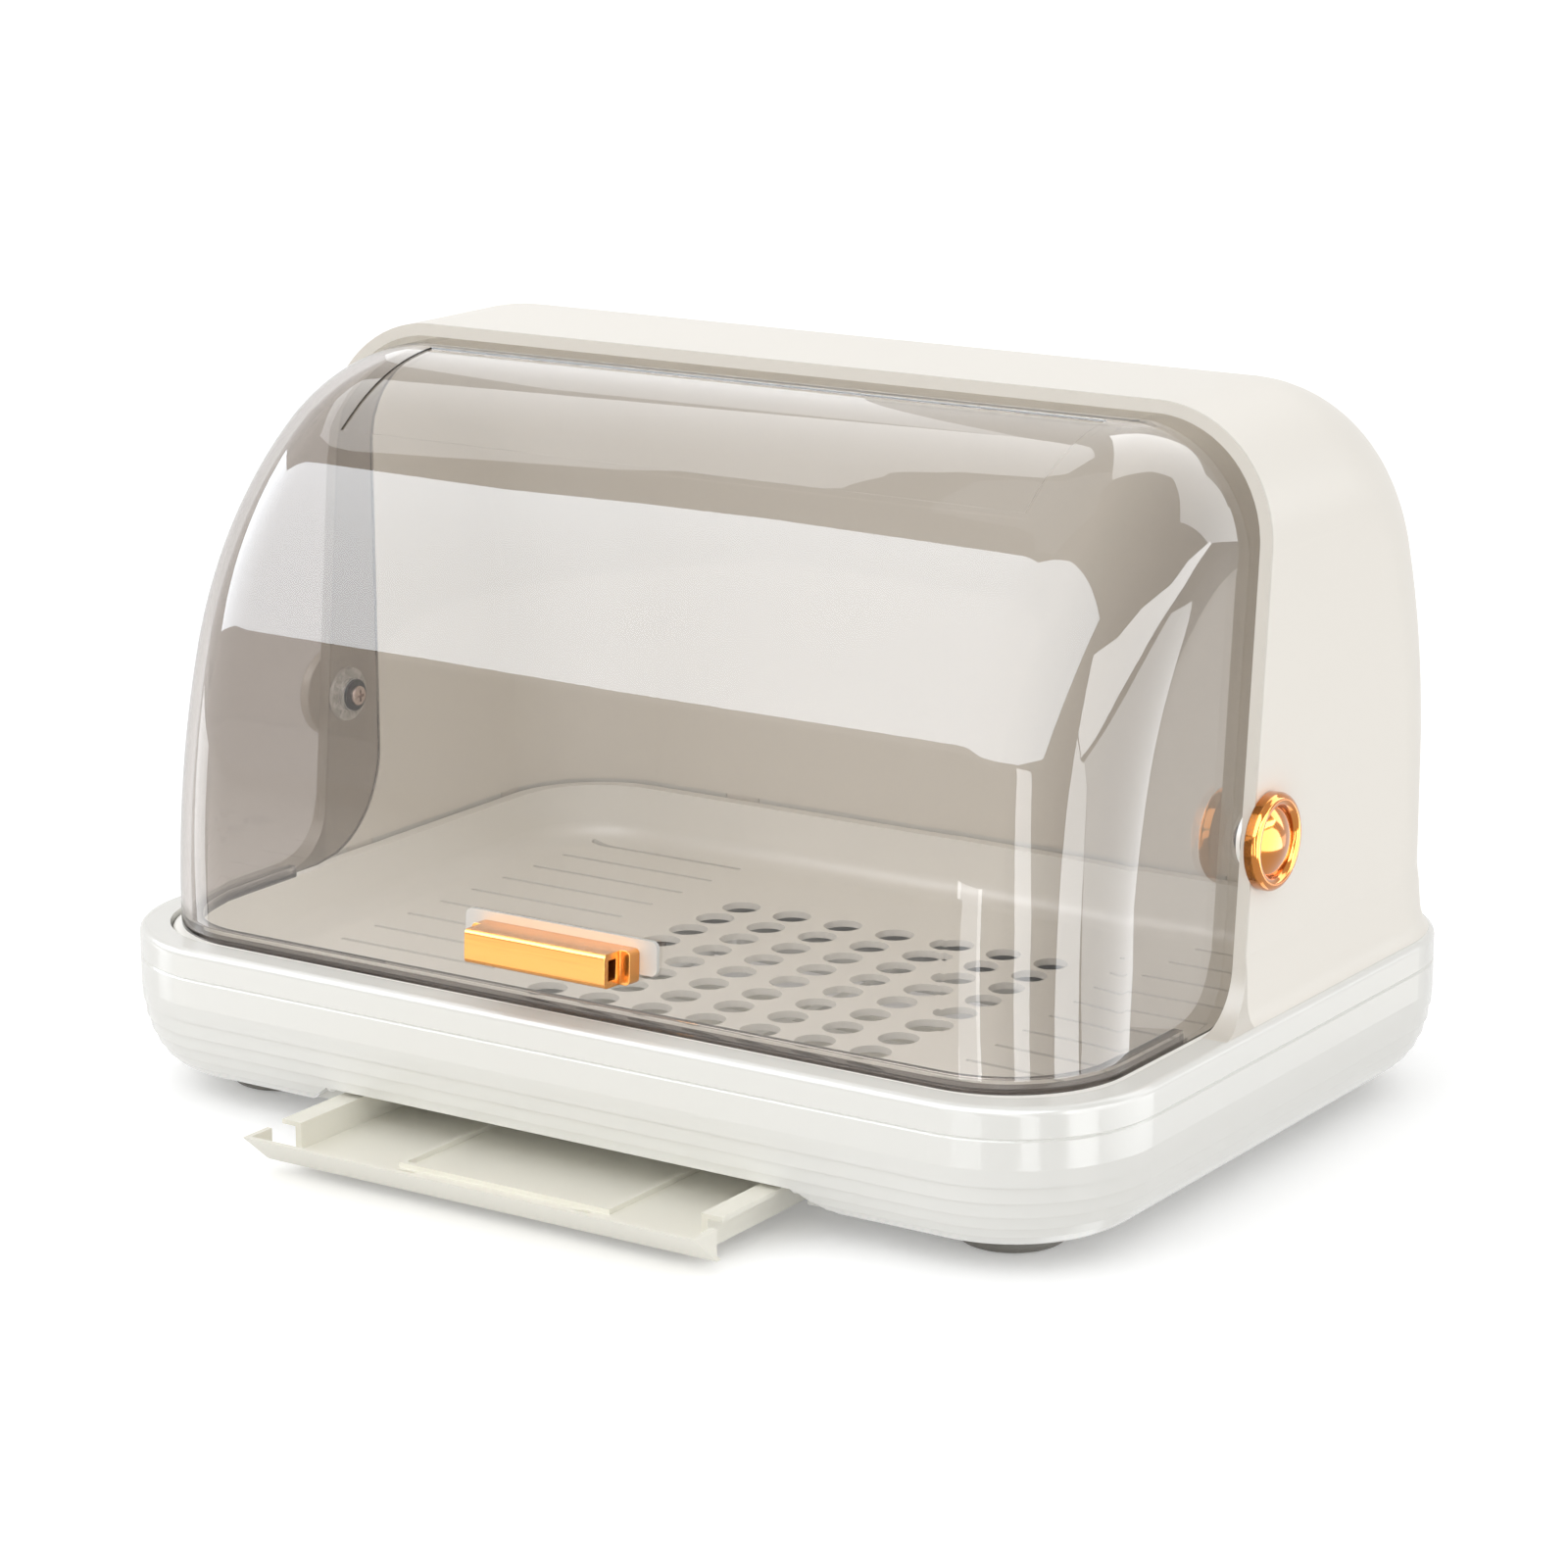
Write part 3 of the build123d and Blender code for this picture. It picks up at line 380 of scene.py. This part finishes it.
def turned_piece(name, profile, origin, axis, material, steps=96):
    """Piece turned on a lathe: the profile's (radius, distance along the axis) goes once round the axis."""
    along = Vector(axis).normalized()
    first = along.orthogonal().normalized()
    second = along.cross(first)
    angle = np.linspace(0, 2 * np.pi, steps, endpoint=False)
    round_way = np.cos(angle)[:, None] * np.array(first) + np.sin(angle)[:, None] * np.array(second)
    profile = np.array(profile)
    points = np.array(origin) + profile[None, :, :1] * round_way[:, None]
    points = points + profile[None, :, 1:] * np.array(along)
    index = np.arange(steps * len(profile)).reshape(steps, len(profile))
    ahead = np.roll(index, -1, axis=0)
    faces = np.stack([index[:, :-1], ahead[:, :-1], ahead[:, 1:], index[:, 1:]], axis=-1).reshape(-1, 4)
    return mesh_piece(name, points.reshape(-1, 3), faces, material)


def drill(piece, cutters):
    """Cuts the cutters out of the piece and removes them; the mesh keeps its sharp edges."""
    for cutter in cutters:
        cut = piece.modifiers.new("drill", "BOOLEAN")
        cut.operation = "DIFFERENCE"
        cut.solver = "EXACT"
        cut.object = cutter
        view = bpy.context.evaluated_depsgraph_get()
        drilled = bpy.data.meshes.new_from_object(piece.evaluated_get(view))
        piece.modifiers.clear()
        piece.data = drilled
        bpy.data.objects.remove(cutter)
    piece.data.set_sharp_from_angle(angle=sharp_edge)


# Between these distances off the middle the lid's tint turns into the darker side tint, a painted shade for
# its ears.
side_shade_start, side_shade_full = 0.13, 0.15


def smoked_clear(name, front_tint, side_shade_tint):
    """Smoked clear plastic whose tint deepens towards the sides, between two distances off the middle: a
    painted shade that darkens the ears.

    A swell of about a hundredth of a millimetre, left by the mould, makes what it mirrors waver a little.
    Light on its way to or from matt surfaces passes it unbent and untinted.
    """
    material, tree, shader = new_material(name)
    place = tree.nodes.new("ShaderNodeTexCoord")
    axes = tree.nodes.new("ShaderNodeSeparateXYZ")
    aside = tree.nodes.new("ShaderNodeMath")
    aside.operation = "ABSOLUTE"
    share = tree.nodes.new("ShaderNodeMapRange")
    share.inputs["From Min"].default_value = side_shade_start
    share.inputs["From Max"].default_value = side_shade_full
    tint = tree.nodes.new("ShaderNodeMix")
    tint.data_type = "RGBA"
    tint.inputs[6].default_value = (*front_tint, 1.0)
    tint.inputs[7].default_value = (*side_shade_tint, 1.0)
    tree.links.new(place.outputs["Object"], axes.inputs[0])
    tree.links.new(axes.outputs["X"], aside.inputs[0])
    tree.links.new(aside.outputs[0], share.inputs["Value"])
    tree.links.new(share.outputs[0], tint.inputs[0])
    tree.links.new(tint.outputs[2], shader.inputs["Base Color"])
    shader.inputs["Roughness"].default_value = 0.0
    shader.inputs["IOR"].default_value = 1.49
    shader.inputs["Transmission Weight"].default_value = 1.0
    surface = tree.nodes.new("ShaderNodeGroup")
    surface.node_tree = moulded
    surface.inputs["Swell"].default_value = 1.0
    surface.inputs["Grain"].default_value = 0.0
    bump = tree.nodes.new("ShaderNodeBump")
    bump.inputs["Distance"].default_value = 0.00001
    tree.links.new(surface.outputs["Height"], bump.inputs["Height"])
    tree.links.new(bump.outputs["Normal"], shader.inputs["Normal"])
    path = tree.nodes.new("ShaderNodeLightPath")
    soft = tree.nodes.new("ShaderNodeMath")
    soft.operation = "MAXIMUM"
    through = tree.nodes.new("ShaderNodeBsdfTransparent")
    mix = tree.nodes.new("ShaderNodeMixShader")
    tree.links.new(path.outputs["Is Shadow Ray"], soft.inputs[0])
    tree.links.new(path.outputs["Is Diffuse Ray"], soft.inputs[1])
    tree.links.new(soft.outputs[0], mix.inputs[0])
    tree.links.new(shader.outputs[0], mix.inputs[1])
    tree.links.new(through.outputs[0], mix.inputs[2])
    tree.links.new(mix.outputs[0], tree.nodes["Material Output"].inputs["Surface"])
    return material


# The second tint is the darker painted shade of the lid's sides and ears.
lid_clear = smoked_clear("lid_clear", (0.7, 0.66, 0.628), (0.43, 0.394, 0.364))
# The foot band's near-black tint is partly the plastic's tint over its whole depth and partly a painted
# contact shadow along the rim.
foot_tint_and_shadow, foot_slack = (0.12, 0.105, 0.1), 0.0001
lid_foot_tint_and_shadow = smoked_clear("lid_foot_tint_and_shadow", foot_tint_and_shadow, foot_tint_and_shadow)

lid = mesh_piece("lid_shell", *lid_shell(), lid_clear)
lid.data.materials.append(lid_foot_tint_and_shadow)
face_middles = np.empty(3 * len(lid.data.polygons))
lid.data.polygons.foreach_get("center", face_middles)
face_middles = face_middles.reshape(-1, 3)
# Faces of the foot band get the darker material with the painted contact shadow.
in_shadowed_foot = (face_middles[:, 2] < lid_foot + foot_band) & (face_middles[:, 1] < lip_end + foot_slack)
lid.data.polygons.foreach_set("material_index", in_shadowed_foot.astype(np.int32))
pivot_hole, screw_hole, screw_apart, bar_height = 0.00482, 0.00145, 0.017, 0.0654
ear_middle, drill_reach = 0.151, 0.01
bar_turn = np.arcsin((bar_height - crown_arcs[0][1]) / crown_arcs[0][2])
bar_way = np.array([0.0, -np.cos(bar_turn), np.sin(bar_turn)])
bar_foot = np.array([0.0, lid_front + crown_arcs[0][2] * (1 - np.cos(bar_turn)), bar_height])


def drill_line(hole):
    """Profile of a drill with the given radius, as long on each side of its middle as drill_reach."""
    return [(0, -drill_reach), (hole, -drill_reach), (hole, drill_reach), (0, drill_reach)]


pivot_drill, screw_drill = drill_line(pivot_hole), drill_line(screw_hole)
drill(lid, [
    turned_piece("drill_left", pivot_drill, (-ear_middle, pivot_y, pivot_z), (1, 0, 0), lid_clear, 48),
    turned_piece("drill_right", pivot_drill, (ear_middle, pivot_y, pivot_z), (1, 0, 0), lid_clear, 48),
    turned_piece("drill_bar_left", screw_drill, bar_foot - (screw_apart, 0, 0), bar_way, lid_clear, 32),
    turned_piece("drill_bar_right", screw_drill, bar_foot + (screw_apart, 0, 0), bar_way, lid_clear, 32),
])
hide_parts("lid")
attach(lid, "lid")

# Handle: a gold-plated hollow bar on a white plate, screwed through the lid from inside.
# The plating is polished over faint drawing lines that run along the bar.
gold_plate, gold_tree, gold_shader = moulded_material(
    "gold_plate", display(212, 146, 72), roughness=0.26, drift=0.15, gloss_drift=0.1, swell=1.0, grain=0.1,
    grain_scale=700.0
)
gold_shader.inputs["Metallic"].default_value = 1.0
drawn_place = gold_tree.nodes.new("ShaderNodeTexCoord")
drawn_scale = gold_tree.nodes.new("ShaderNodeMapping")
drawn_scale.inputs["Scale"].default_value = (40.0, 900.0, 900.0)
drawn_lines = gold_tree.nodes.new("ShaderNodeTexNoise")
drawn_lines.inputs["Scale"].default_value = 1.0
drawn_lines.inputs["Detail"].default_value = 3.0
drawn_bump = gold_tree.nodes.new("ShaderNodeBump")
drawn_bump.inputs["Distance"].default_value = 0.00006
gold_tree.links.new(drawn_place.outputs["Object"], drawn_scale.inputs["Vector"])
gold_tree.links.new(drawn_scale.outputs["Vector"], drawn_lines.inputs["Vector"])
gold_tree.links.new(drawn_lines.outputs[0], drawn_bump.inputs["Height"])
gold_tree.links.new(drawn_bump.outputs["Normal"], gold_shader.inputs["Normal"])
gold_shader.inputs["Coat Weight"].default_value = 0.6
gold_shader.inputs["Coat Roughness"].default_value = 0.1
bar_mesh = nodes["handle_bar"].data.copy()
bar_form = bmesh.new()
bar_form.from_mesh(bar_mesh)
bmesh.ops.remove_doubles(bar_form, verts=bar_form.verts, dist=1e-6)
bmesh.ops.dissolve_limit(bar_form, angle_limit=np.radians(1.0), verts=bar_form.verts, edges=bar_form.edges)
bar_form.to_mesh(bar_mesh)
bar_form.free()
bar_mesh.materials.clear()
bar_mesh.materials.append(gold_plate)
bar = bpy.data.objects.new("bar_polished", bar_mesh)
bpy.context.scene.collection.objects.link(bar)
bar_mesh.shade_smooth()
bar_mesh.set_sharp_from_angle(angle=sharp_edge)
bar_bevel = bar.modifiers.new("worn_edges", "BEVEL")
bar_bevel.limit_method = "ANGLE"
bar_bevel.angle_limit = np.radians(40.0)
bar_bevel.width = 0.0004
bar_bevel.segments = 3
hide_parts("handle_bar")
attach(bar, "lid")
white_plastic, _, _ = moulded_material("white_plastic", display(206, 205, 201), roughness=0.25)
dress(["handle_plate"], white_plastic)

# Pivots: a domed cap outside each hood wall carries the stem, gold on the right and cream on the left.
# White bushes sit in the lid's ears, and dark washers lie behind the screws.
cap_seat = 0.1575
# The cap's profile in millimetres: screw bore, stem, seat on the hood, rolled rim and shallow dome.
bore_half, bore_end, stem_half, stem_end, seat_half, seat_edge = 1.25, -3.3, 3.4, -8.3, 13.0, 0.3
rim_middle, rim_height, rim_round = 11.4, 2.2, 1.9
dome_half, dome_height, dome_round = 9.5, 5.0, 17.516
rim_turn = np.radians(np.arange(0, 181, 12))
dome_turn = np.linspace(np.arcsin(dome_half / dome_round), 0, 15)[1:]
cap_line = np.concatenate([
    [(0.0, bore_end), (bore_half, bore_end), (bore_half, stem_end), (stem_half, stem_end), (stem_half, 0.0),
     (seat_half, 0.0), (seat_half + seat_edge, seat_edge)],
    np.column_stack([rim_middle + rim_round * np.cos(rim_turn), rim_height + rim_round * np.sin(rim_turn)]),
    np.column_stack([dome_round * np.sin(dome_turn), dome_height - dome_round * (1 - np.cos(dome_turn))]),
]) / 1000
gold_cap, _, gold_cap_shader = moulded_material(
    "gold_cap", display(190, 116, 40), roughness=0.12, drift=0.1, gloss_drift=0.06, swell=0.6, grain=0.05
)
gold_cap_shader.inputs["Metallic"].default_value = 1.0
gold_cap_shader.inputs["Coat Weight"].default_value = 0.7
gold_cap_shader.inputs["Coat Roughness"].default_value = 0.04
for side, hand, finish in ((-1, "left", hood_plastic), (1, "right", gold_cap)):
    cap = turned_piece("cap_" + hand, cap_line, (side * cap_seat, pivot_y, pivot_z), (side, 0, 0), finish)
    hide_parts("pivot_cap_" + hand)
    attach(cap, "cabinet")
bush_plastic, _, _ = moulded_material("bush_plastic", display(236, 235, 230), roughness=0.4)
dress(["pivot_bush_left", "pivot_bush_right"], bush_plastic)
washer_plastic, _, _ = moulded_material("washer_plastic", display(46, 42, 40), roughness=0.4)
dress(["pivot_washer_left", "pivot_washer_right"], washer_plastic)

# Studio: a pale floor that runs out of sight, a white surround and one large softbox at the front left.
# The clear lid and the gold mirror glowing sheets that nothing else sees, as they would a room's windows.
# Floor and surround show white to the camera, in gloss and through glass, and light the object a little less.
def seen_directly(tree):
    """Socket that is one for rays from the camera, from gloss or through glass, and zero for all others."""
    path = tree.nodes.new("ShaderNodeLightPath")
    share = path.outputs["Is Camera Ray"]
    for other in ("Is Glossy Ray", "Is Transmission Ray"):
        either = tree.nodes.new("ShaderNodeMath")
        either.operation = "MAXIMUM"
        tree.links.new(share, either.inputs[0])
        tree.links.new(path.outputs[other], either.inputs[1])
        share = either.outputs[0]
    return share


floor_half = 6.0
floor_mesh = bpy.data.meshes.new("floor")
floor_mesh.from_pydata(
    [(-floor_half, -floor_half, 0), (floor_half, -floor_half, 0), (floor_half, floor_half, 0),
     (-floor_half, floor_half, 0)], [], [(0, 1, 2, 3)]
)
floor = bpy.data.objects.new("floor", floor_mesh)
bpy.context.scene.collection.objects.link(floor)
floor.visible_glossy = False
floor_paint, floor_tree, floor_shader = new_material("floor_paint")
floor_shader.inputs["Base Color"].default_value = display(250, 250, 250)
floor_shader.inputs["Roughness"].default_value = 0.9
floor_shader.inputs["Specular IOR Level"].default_value = 0.1
floor_glow = floor_tree.nodes.new("ShaderNodeEmission")
floor_glow.inputs["Strength"].default_value = 0.2
floor_dark = floor_tree.nodes.new("ShaderNodeEmission")
floor_dark.inputs["Strength"].default_value = 0.0
floor_seen = floor_tree.nodes.new("ShaderNodeMixShader")
floor_sum = floor_tree.nodes.new("ShaderNodeAddShader")
link = floor_tree.links.new
link(seen_directly(floor_tree), floor_seen.inputs[0])
link(floor_dark.outputs[0], floor_seen.inputs[1])
link(floor_glow.outputs[0], floor_seen.inputs[2])
link(floor_shader.outputs[0], floor_sum.inputs[0])
link(floor_seen.outputs[0], floor_sum.inputs[1])
link(floor_sum.outputs[0], floor_tree.nodes["Material Output"].inputs["Surface"])
floor_mesh.materials.append(floor_paint)

world = bpy.data.worlds.new("surround")
bpy.context.scene.world = world
world.use_nodes = True
world_tree = world.node_tree
world_tree.nodes.clear()
surround = world_tree.nodes.new("ShaderNodeBackground")
surround.inputs["Color"].default_value = (1.0, 1.0, 1.0, 1.0)
surround.inputs["Strength"].default_value = 0.89
backdrop = world_tree.nodes.new("ShaderNodeBackground")
backdrop.inputs["Color"].default_value = (1.0, 1.0, 1.0, 1.0)
backdrop.inputs["Strength"].default_value = 1.0
world_mix = world_tree.nodes.new("ShaderNodeMixShader")
world_output = world_tree.nodes.new("ShaderNodeOutputWorld")
link = world_tree.links.new
link(seen_directly(world_tree), world_mix.inputs[0])
link(surround.outputs[0], world_mix.inputs[1])
link(backdrop.outputs[0], world_mix.inputs[2])
link(world_mix.outputs[0], world_output.inputs["Surface"])


def softbox(name, place, facing, size, radiance, upright):
    """Rectangular lamp at place, turned to face a point; its power follows from the wanted radiance."""
    lamp = bpy.data.lights.new(name, "AREA")
    lamp.shape = "RECTANGLE"
    lamp.size, lamp.size_y = size
    lamp.energy = radiance * np.pi * size[0] * size[1]
    box = bpy.data.objects.new(name, lamp)
    bpy.context.scene.collection.objects.link(box)
    back = (Vector(place) - Vector(facing)).normalized()
    side = Vector(upright).cross(back).normalized()
    rise = back.cross(side)
    box.matrix_world = Matrix.Translation(place) @ Matrix((side, rise, back)).transposed().to_4x4()
    box.visible_camera = False
    return box


key = softbox("key_box", (-0.35, -1.15, 1.05), (0.0, -0.05, 0.1), (1.3, 1.05), 0.95, (0, 0, 1))
key.visible_glossy = False


def sheet_towards(name, seen_from, low, high, radiance, color=(0.96, 0.98, 1.0), fade=None, reach=6.0):
    """Glowing sheet that shows only in gloss, at the distance reach from the point seen_from.

    It lies between two rows of (bearing, elevation) in degrees, and a bearing a and an elevation e point
    along (sin a cos e, cos a cos e, sin e). With fade = (bottom, top), its strength falls from radiance at
    the height bottom to one at the height top.
    """
    glow, tree, shader = new_material(name)
    tree.nodes.remove(shader)
    lamp = tree.nodes.new("ShaderNodeEmission")
    lamp.inputs["Color"].default_value = (*color, 1.0)
    lamp.inputs["Strength"].default_value = radiance
    tree.links.new(lamp.outputs[0], tree.nodes["Material Output"].inputs["Surface"])
    if fade:
        place = tree.nodes.new("ShaderNodeTexCoord")
        axes = tree.nodes.new("ShaderNodeSeparateXYZ")
        level = tree.nodes.new("ShaderNodeMapRange")
        level.inputs["From Min"].default_value, level.inputs["From Max"].default_value = fade
        level.inputs["To Min"].default_value, level.inputs["To Max"].default_value = radiance, 1.0
        tree.links.new(place.outputs["Object"], axes.inputs[0])
        tree.links.new(axes.outputs["Z"], level.inputs["Value"])
        tree.links.new(level.outputs[0], lamp.inputs["Strength"])
    bearing, elevation = np.moveaxis(np.radians([low, high]), -1, 0)
    level_way = np.stack([np.sin(bearing), np.cos(bearing)], axis=-1) * np.cos(elevation)[..., None]
    way = np.concatenate([level_way, np.sin(elevation)[..., None]], axis=-1)
    corners = np.array(seen_from) + reach * way
    index = np.arange(2 * len(low)).reshape(2, len(low))
    faces = np.stack([index[0, :-1], index[0, 1:], index[1, 1:], index[1, :-1]], axis=-1)
    mesh = bpy.data.meshes.new(name)
    mesh.from_pydata(corners.reshape(-1, 3).tolist(), [], faces.tolist())
    mesh.materials.append(glow)
    sheet = bpy.data.objects.new(name, mesh)
    bpy.context.scene.collection.objects.link(sheet)
    sheet.visible_camera = False
    sheet.visible_diffuse = False
    sheet.visible_transmission = False
    sheet.visible_shadow = False


# Each sheet stands where a highlight or a pale tone on the lid comes from in the photograph, seen from a spot
# on it. The first makes the broad white bar across the front, and the last is for the right cap's gold.
band_low = [
    (-105, 8), (-122, 15), (-140, 19), (-143, 19), (-150, 20), (-165, 20), (180, 20), (160, 19), (139, 18)
]
band_high = [
    (-78, 25), (-95, 36), (-108, 51), (-108, 53), (-109, 55), (-121, 61), (-140, 66), (154, 71), (107, 41)
]
sheet_towards("band_sheet", (0.02, -0.06, 0.157), band_low, band_high, 9.0, color=(0.87, 0.93, 1.0))
right_front = (0.126, -0.087, 0.077)
sheet_towards("pane_sheet", right_front, [(173, -20), (189, -20)], [(181, 4), (197, 4)], 5.0)
sheet_towards("pane_edge_near", right_front, [(170, -20), (173, -20)], [(178, 4), (181, 4)], 9.0)
sheet_towards("pane_edge_far", right_front, [(189, -20), (192, -20)], [(197, 4), (200, 4)], 9.0)
sheet_towards("strip_sheet", (0.137, -0.08, 0.09), [(129, -21), (135, -2), (149, 17)],
              [(142, -21), (148, -2), (162, 19)], 8.0)
sheet_towards("window_sheet", (0.145, -0.068, 0.1), [(84, -21), (95, -3), (104, 9), (108, 11)],
              [(108, -21), (114, 0), (115, 7), (113, 17)], 8.5)
sheet_towards("leaf_sheet", (0.147, -0.045, 0.155),
              [(44, 10.5), (55, 9), (65, 11), (83, 12), (98, 11), (108, 11)],
              [(44, 12), (63, 17), (78, 25), (92, 28), (109, 33), (113, 17)], 9.5)
sheet_towards("wide_window_sheet", (0.151, -0.05, 0.11), [(30, -18.5), (30, -17), (38, -9), (46, 0), (58, 8)],
              [(84, -18.5), (84, -17), (95, -3), (104, 9), (106, 9.8)], 5.4)
sheet_towards("side_sheet", (0.153, -0.02, 0.12), [(20, -18), (30, -18)], [(20, -9), (38, -9)], 2.0,
              color=(1.0, 0.98, 0.95))
sheet_towards("corner_sheet", (0.142, -0.006, 0.195), [(-34, 36), (0, 36), (22, 34), (32, 18), (26, -6)],
              [(-8, 77), (20, 60), (30, 50), (56, 35), (46, 12)], 4.6)
sheet_towards("panel_sheet", (0.02, -0.028, 0.195), [(-40, 40), (-75, 41), (-100, 50)],
              [(-40, 56), (-70, 57.5), (-90, 58)], 3.4)
sheet_towards("ceiling_sheet", (0.02, -0.035, 0.19), [(-70, 58.5), (-98, 59), (-125, 64), (-160, 72)],
              [(0, 72), (0, 78), (0, 86), (120, 84)], 1.5)
sheet_towards("table_sheet", (0.06, -0.09, 0.08), [(-172, -19), (-145, -19), (-118, -19)],
              [(-172, 2), (-145, 2), (-118, 2)], 2.6, color=(1.0, 0.98, 0.94), fade=(-1.3, 0.2))
sheet_towards("crown_sheet", (0.02, -0.012, 0.202), [(-46, 19), (-34, 19)], [(-50, 39), (-40, 40)], 2.2)
sheet_towards("left_sheet", (-0.127, -0.086, 0.085), [(-118, -17), (-100, -17)], [(-112, -1), (-92, -1)], 4.5)
sheet_towards("cap_low", (0.163, 0.011, 0.096), [(0, -74), (60, -74)], [(0, -48), (60, -48)], 2.4)

# Camera: the photograph's own place and lens, found by matching the box's outline to the picture.
# It looks down a little from the front right.
camera_place = Vector((0.7097, -1.04845, 0.4175))
camera_target = Vector((-0.00394, 0.02325, 0.08611))
camera_roll = np.radians(0.19)
lens = bpy.data.cameras.new("camera")
lens.lens = 106.95
lens.sensor_width = 36.0
camera = bpy.data.objects.new("camera", lens)
bpy.context.scene.collection.objects.link(camera)
turned = (camera_target - camera_place).to_track_quat("-Z", "Y").to_matrix()
turned = turned @ Matrix.Rotation(-camera_roll, 3, "Z")
camera.matrix_world = Matrix.Translation(camera_place) @ turned.to_4x4()
bpy.context.scene.camera = camera
bpy.context.scene.view_settings.view_transform = "Standard"
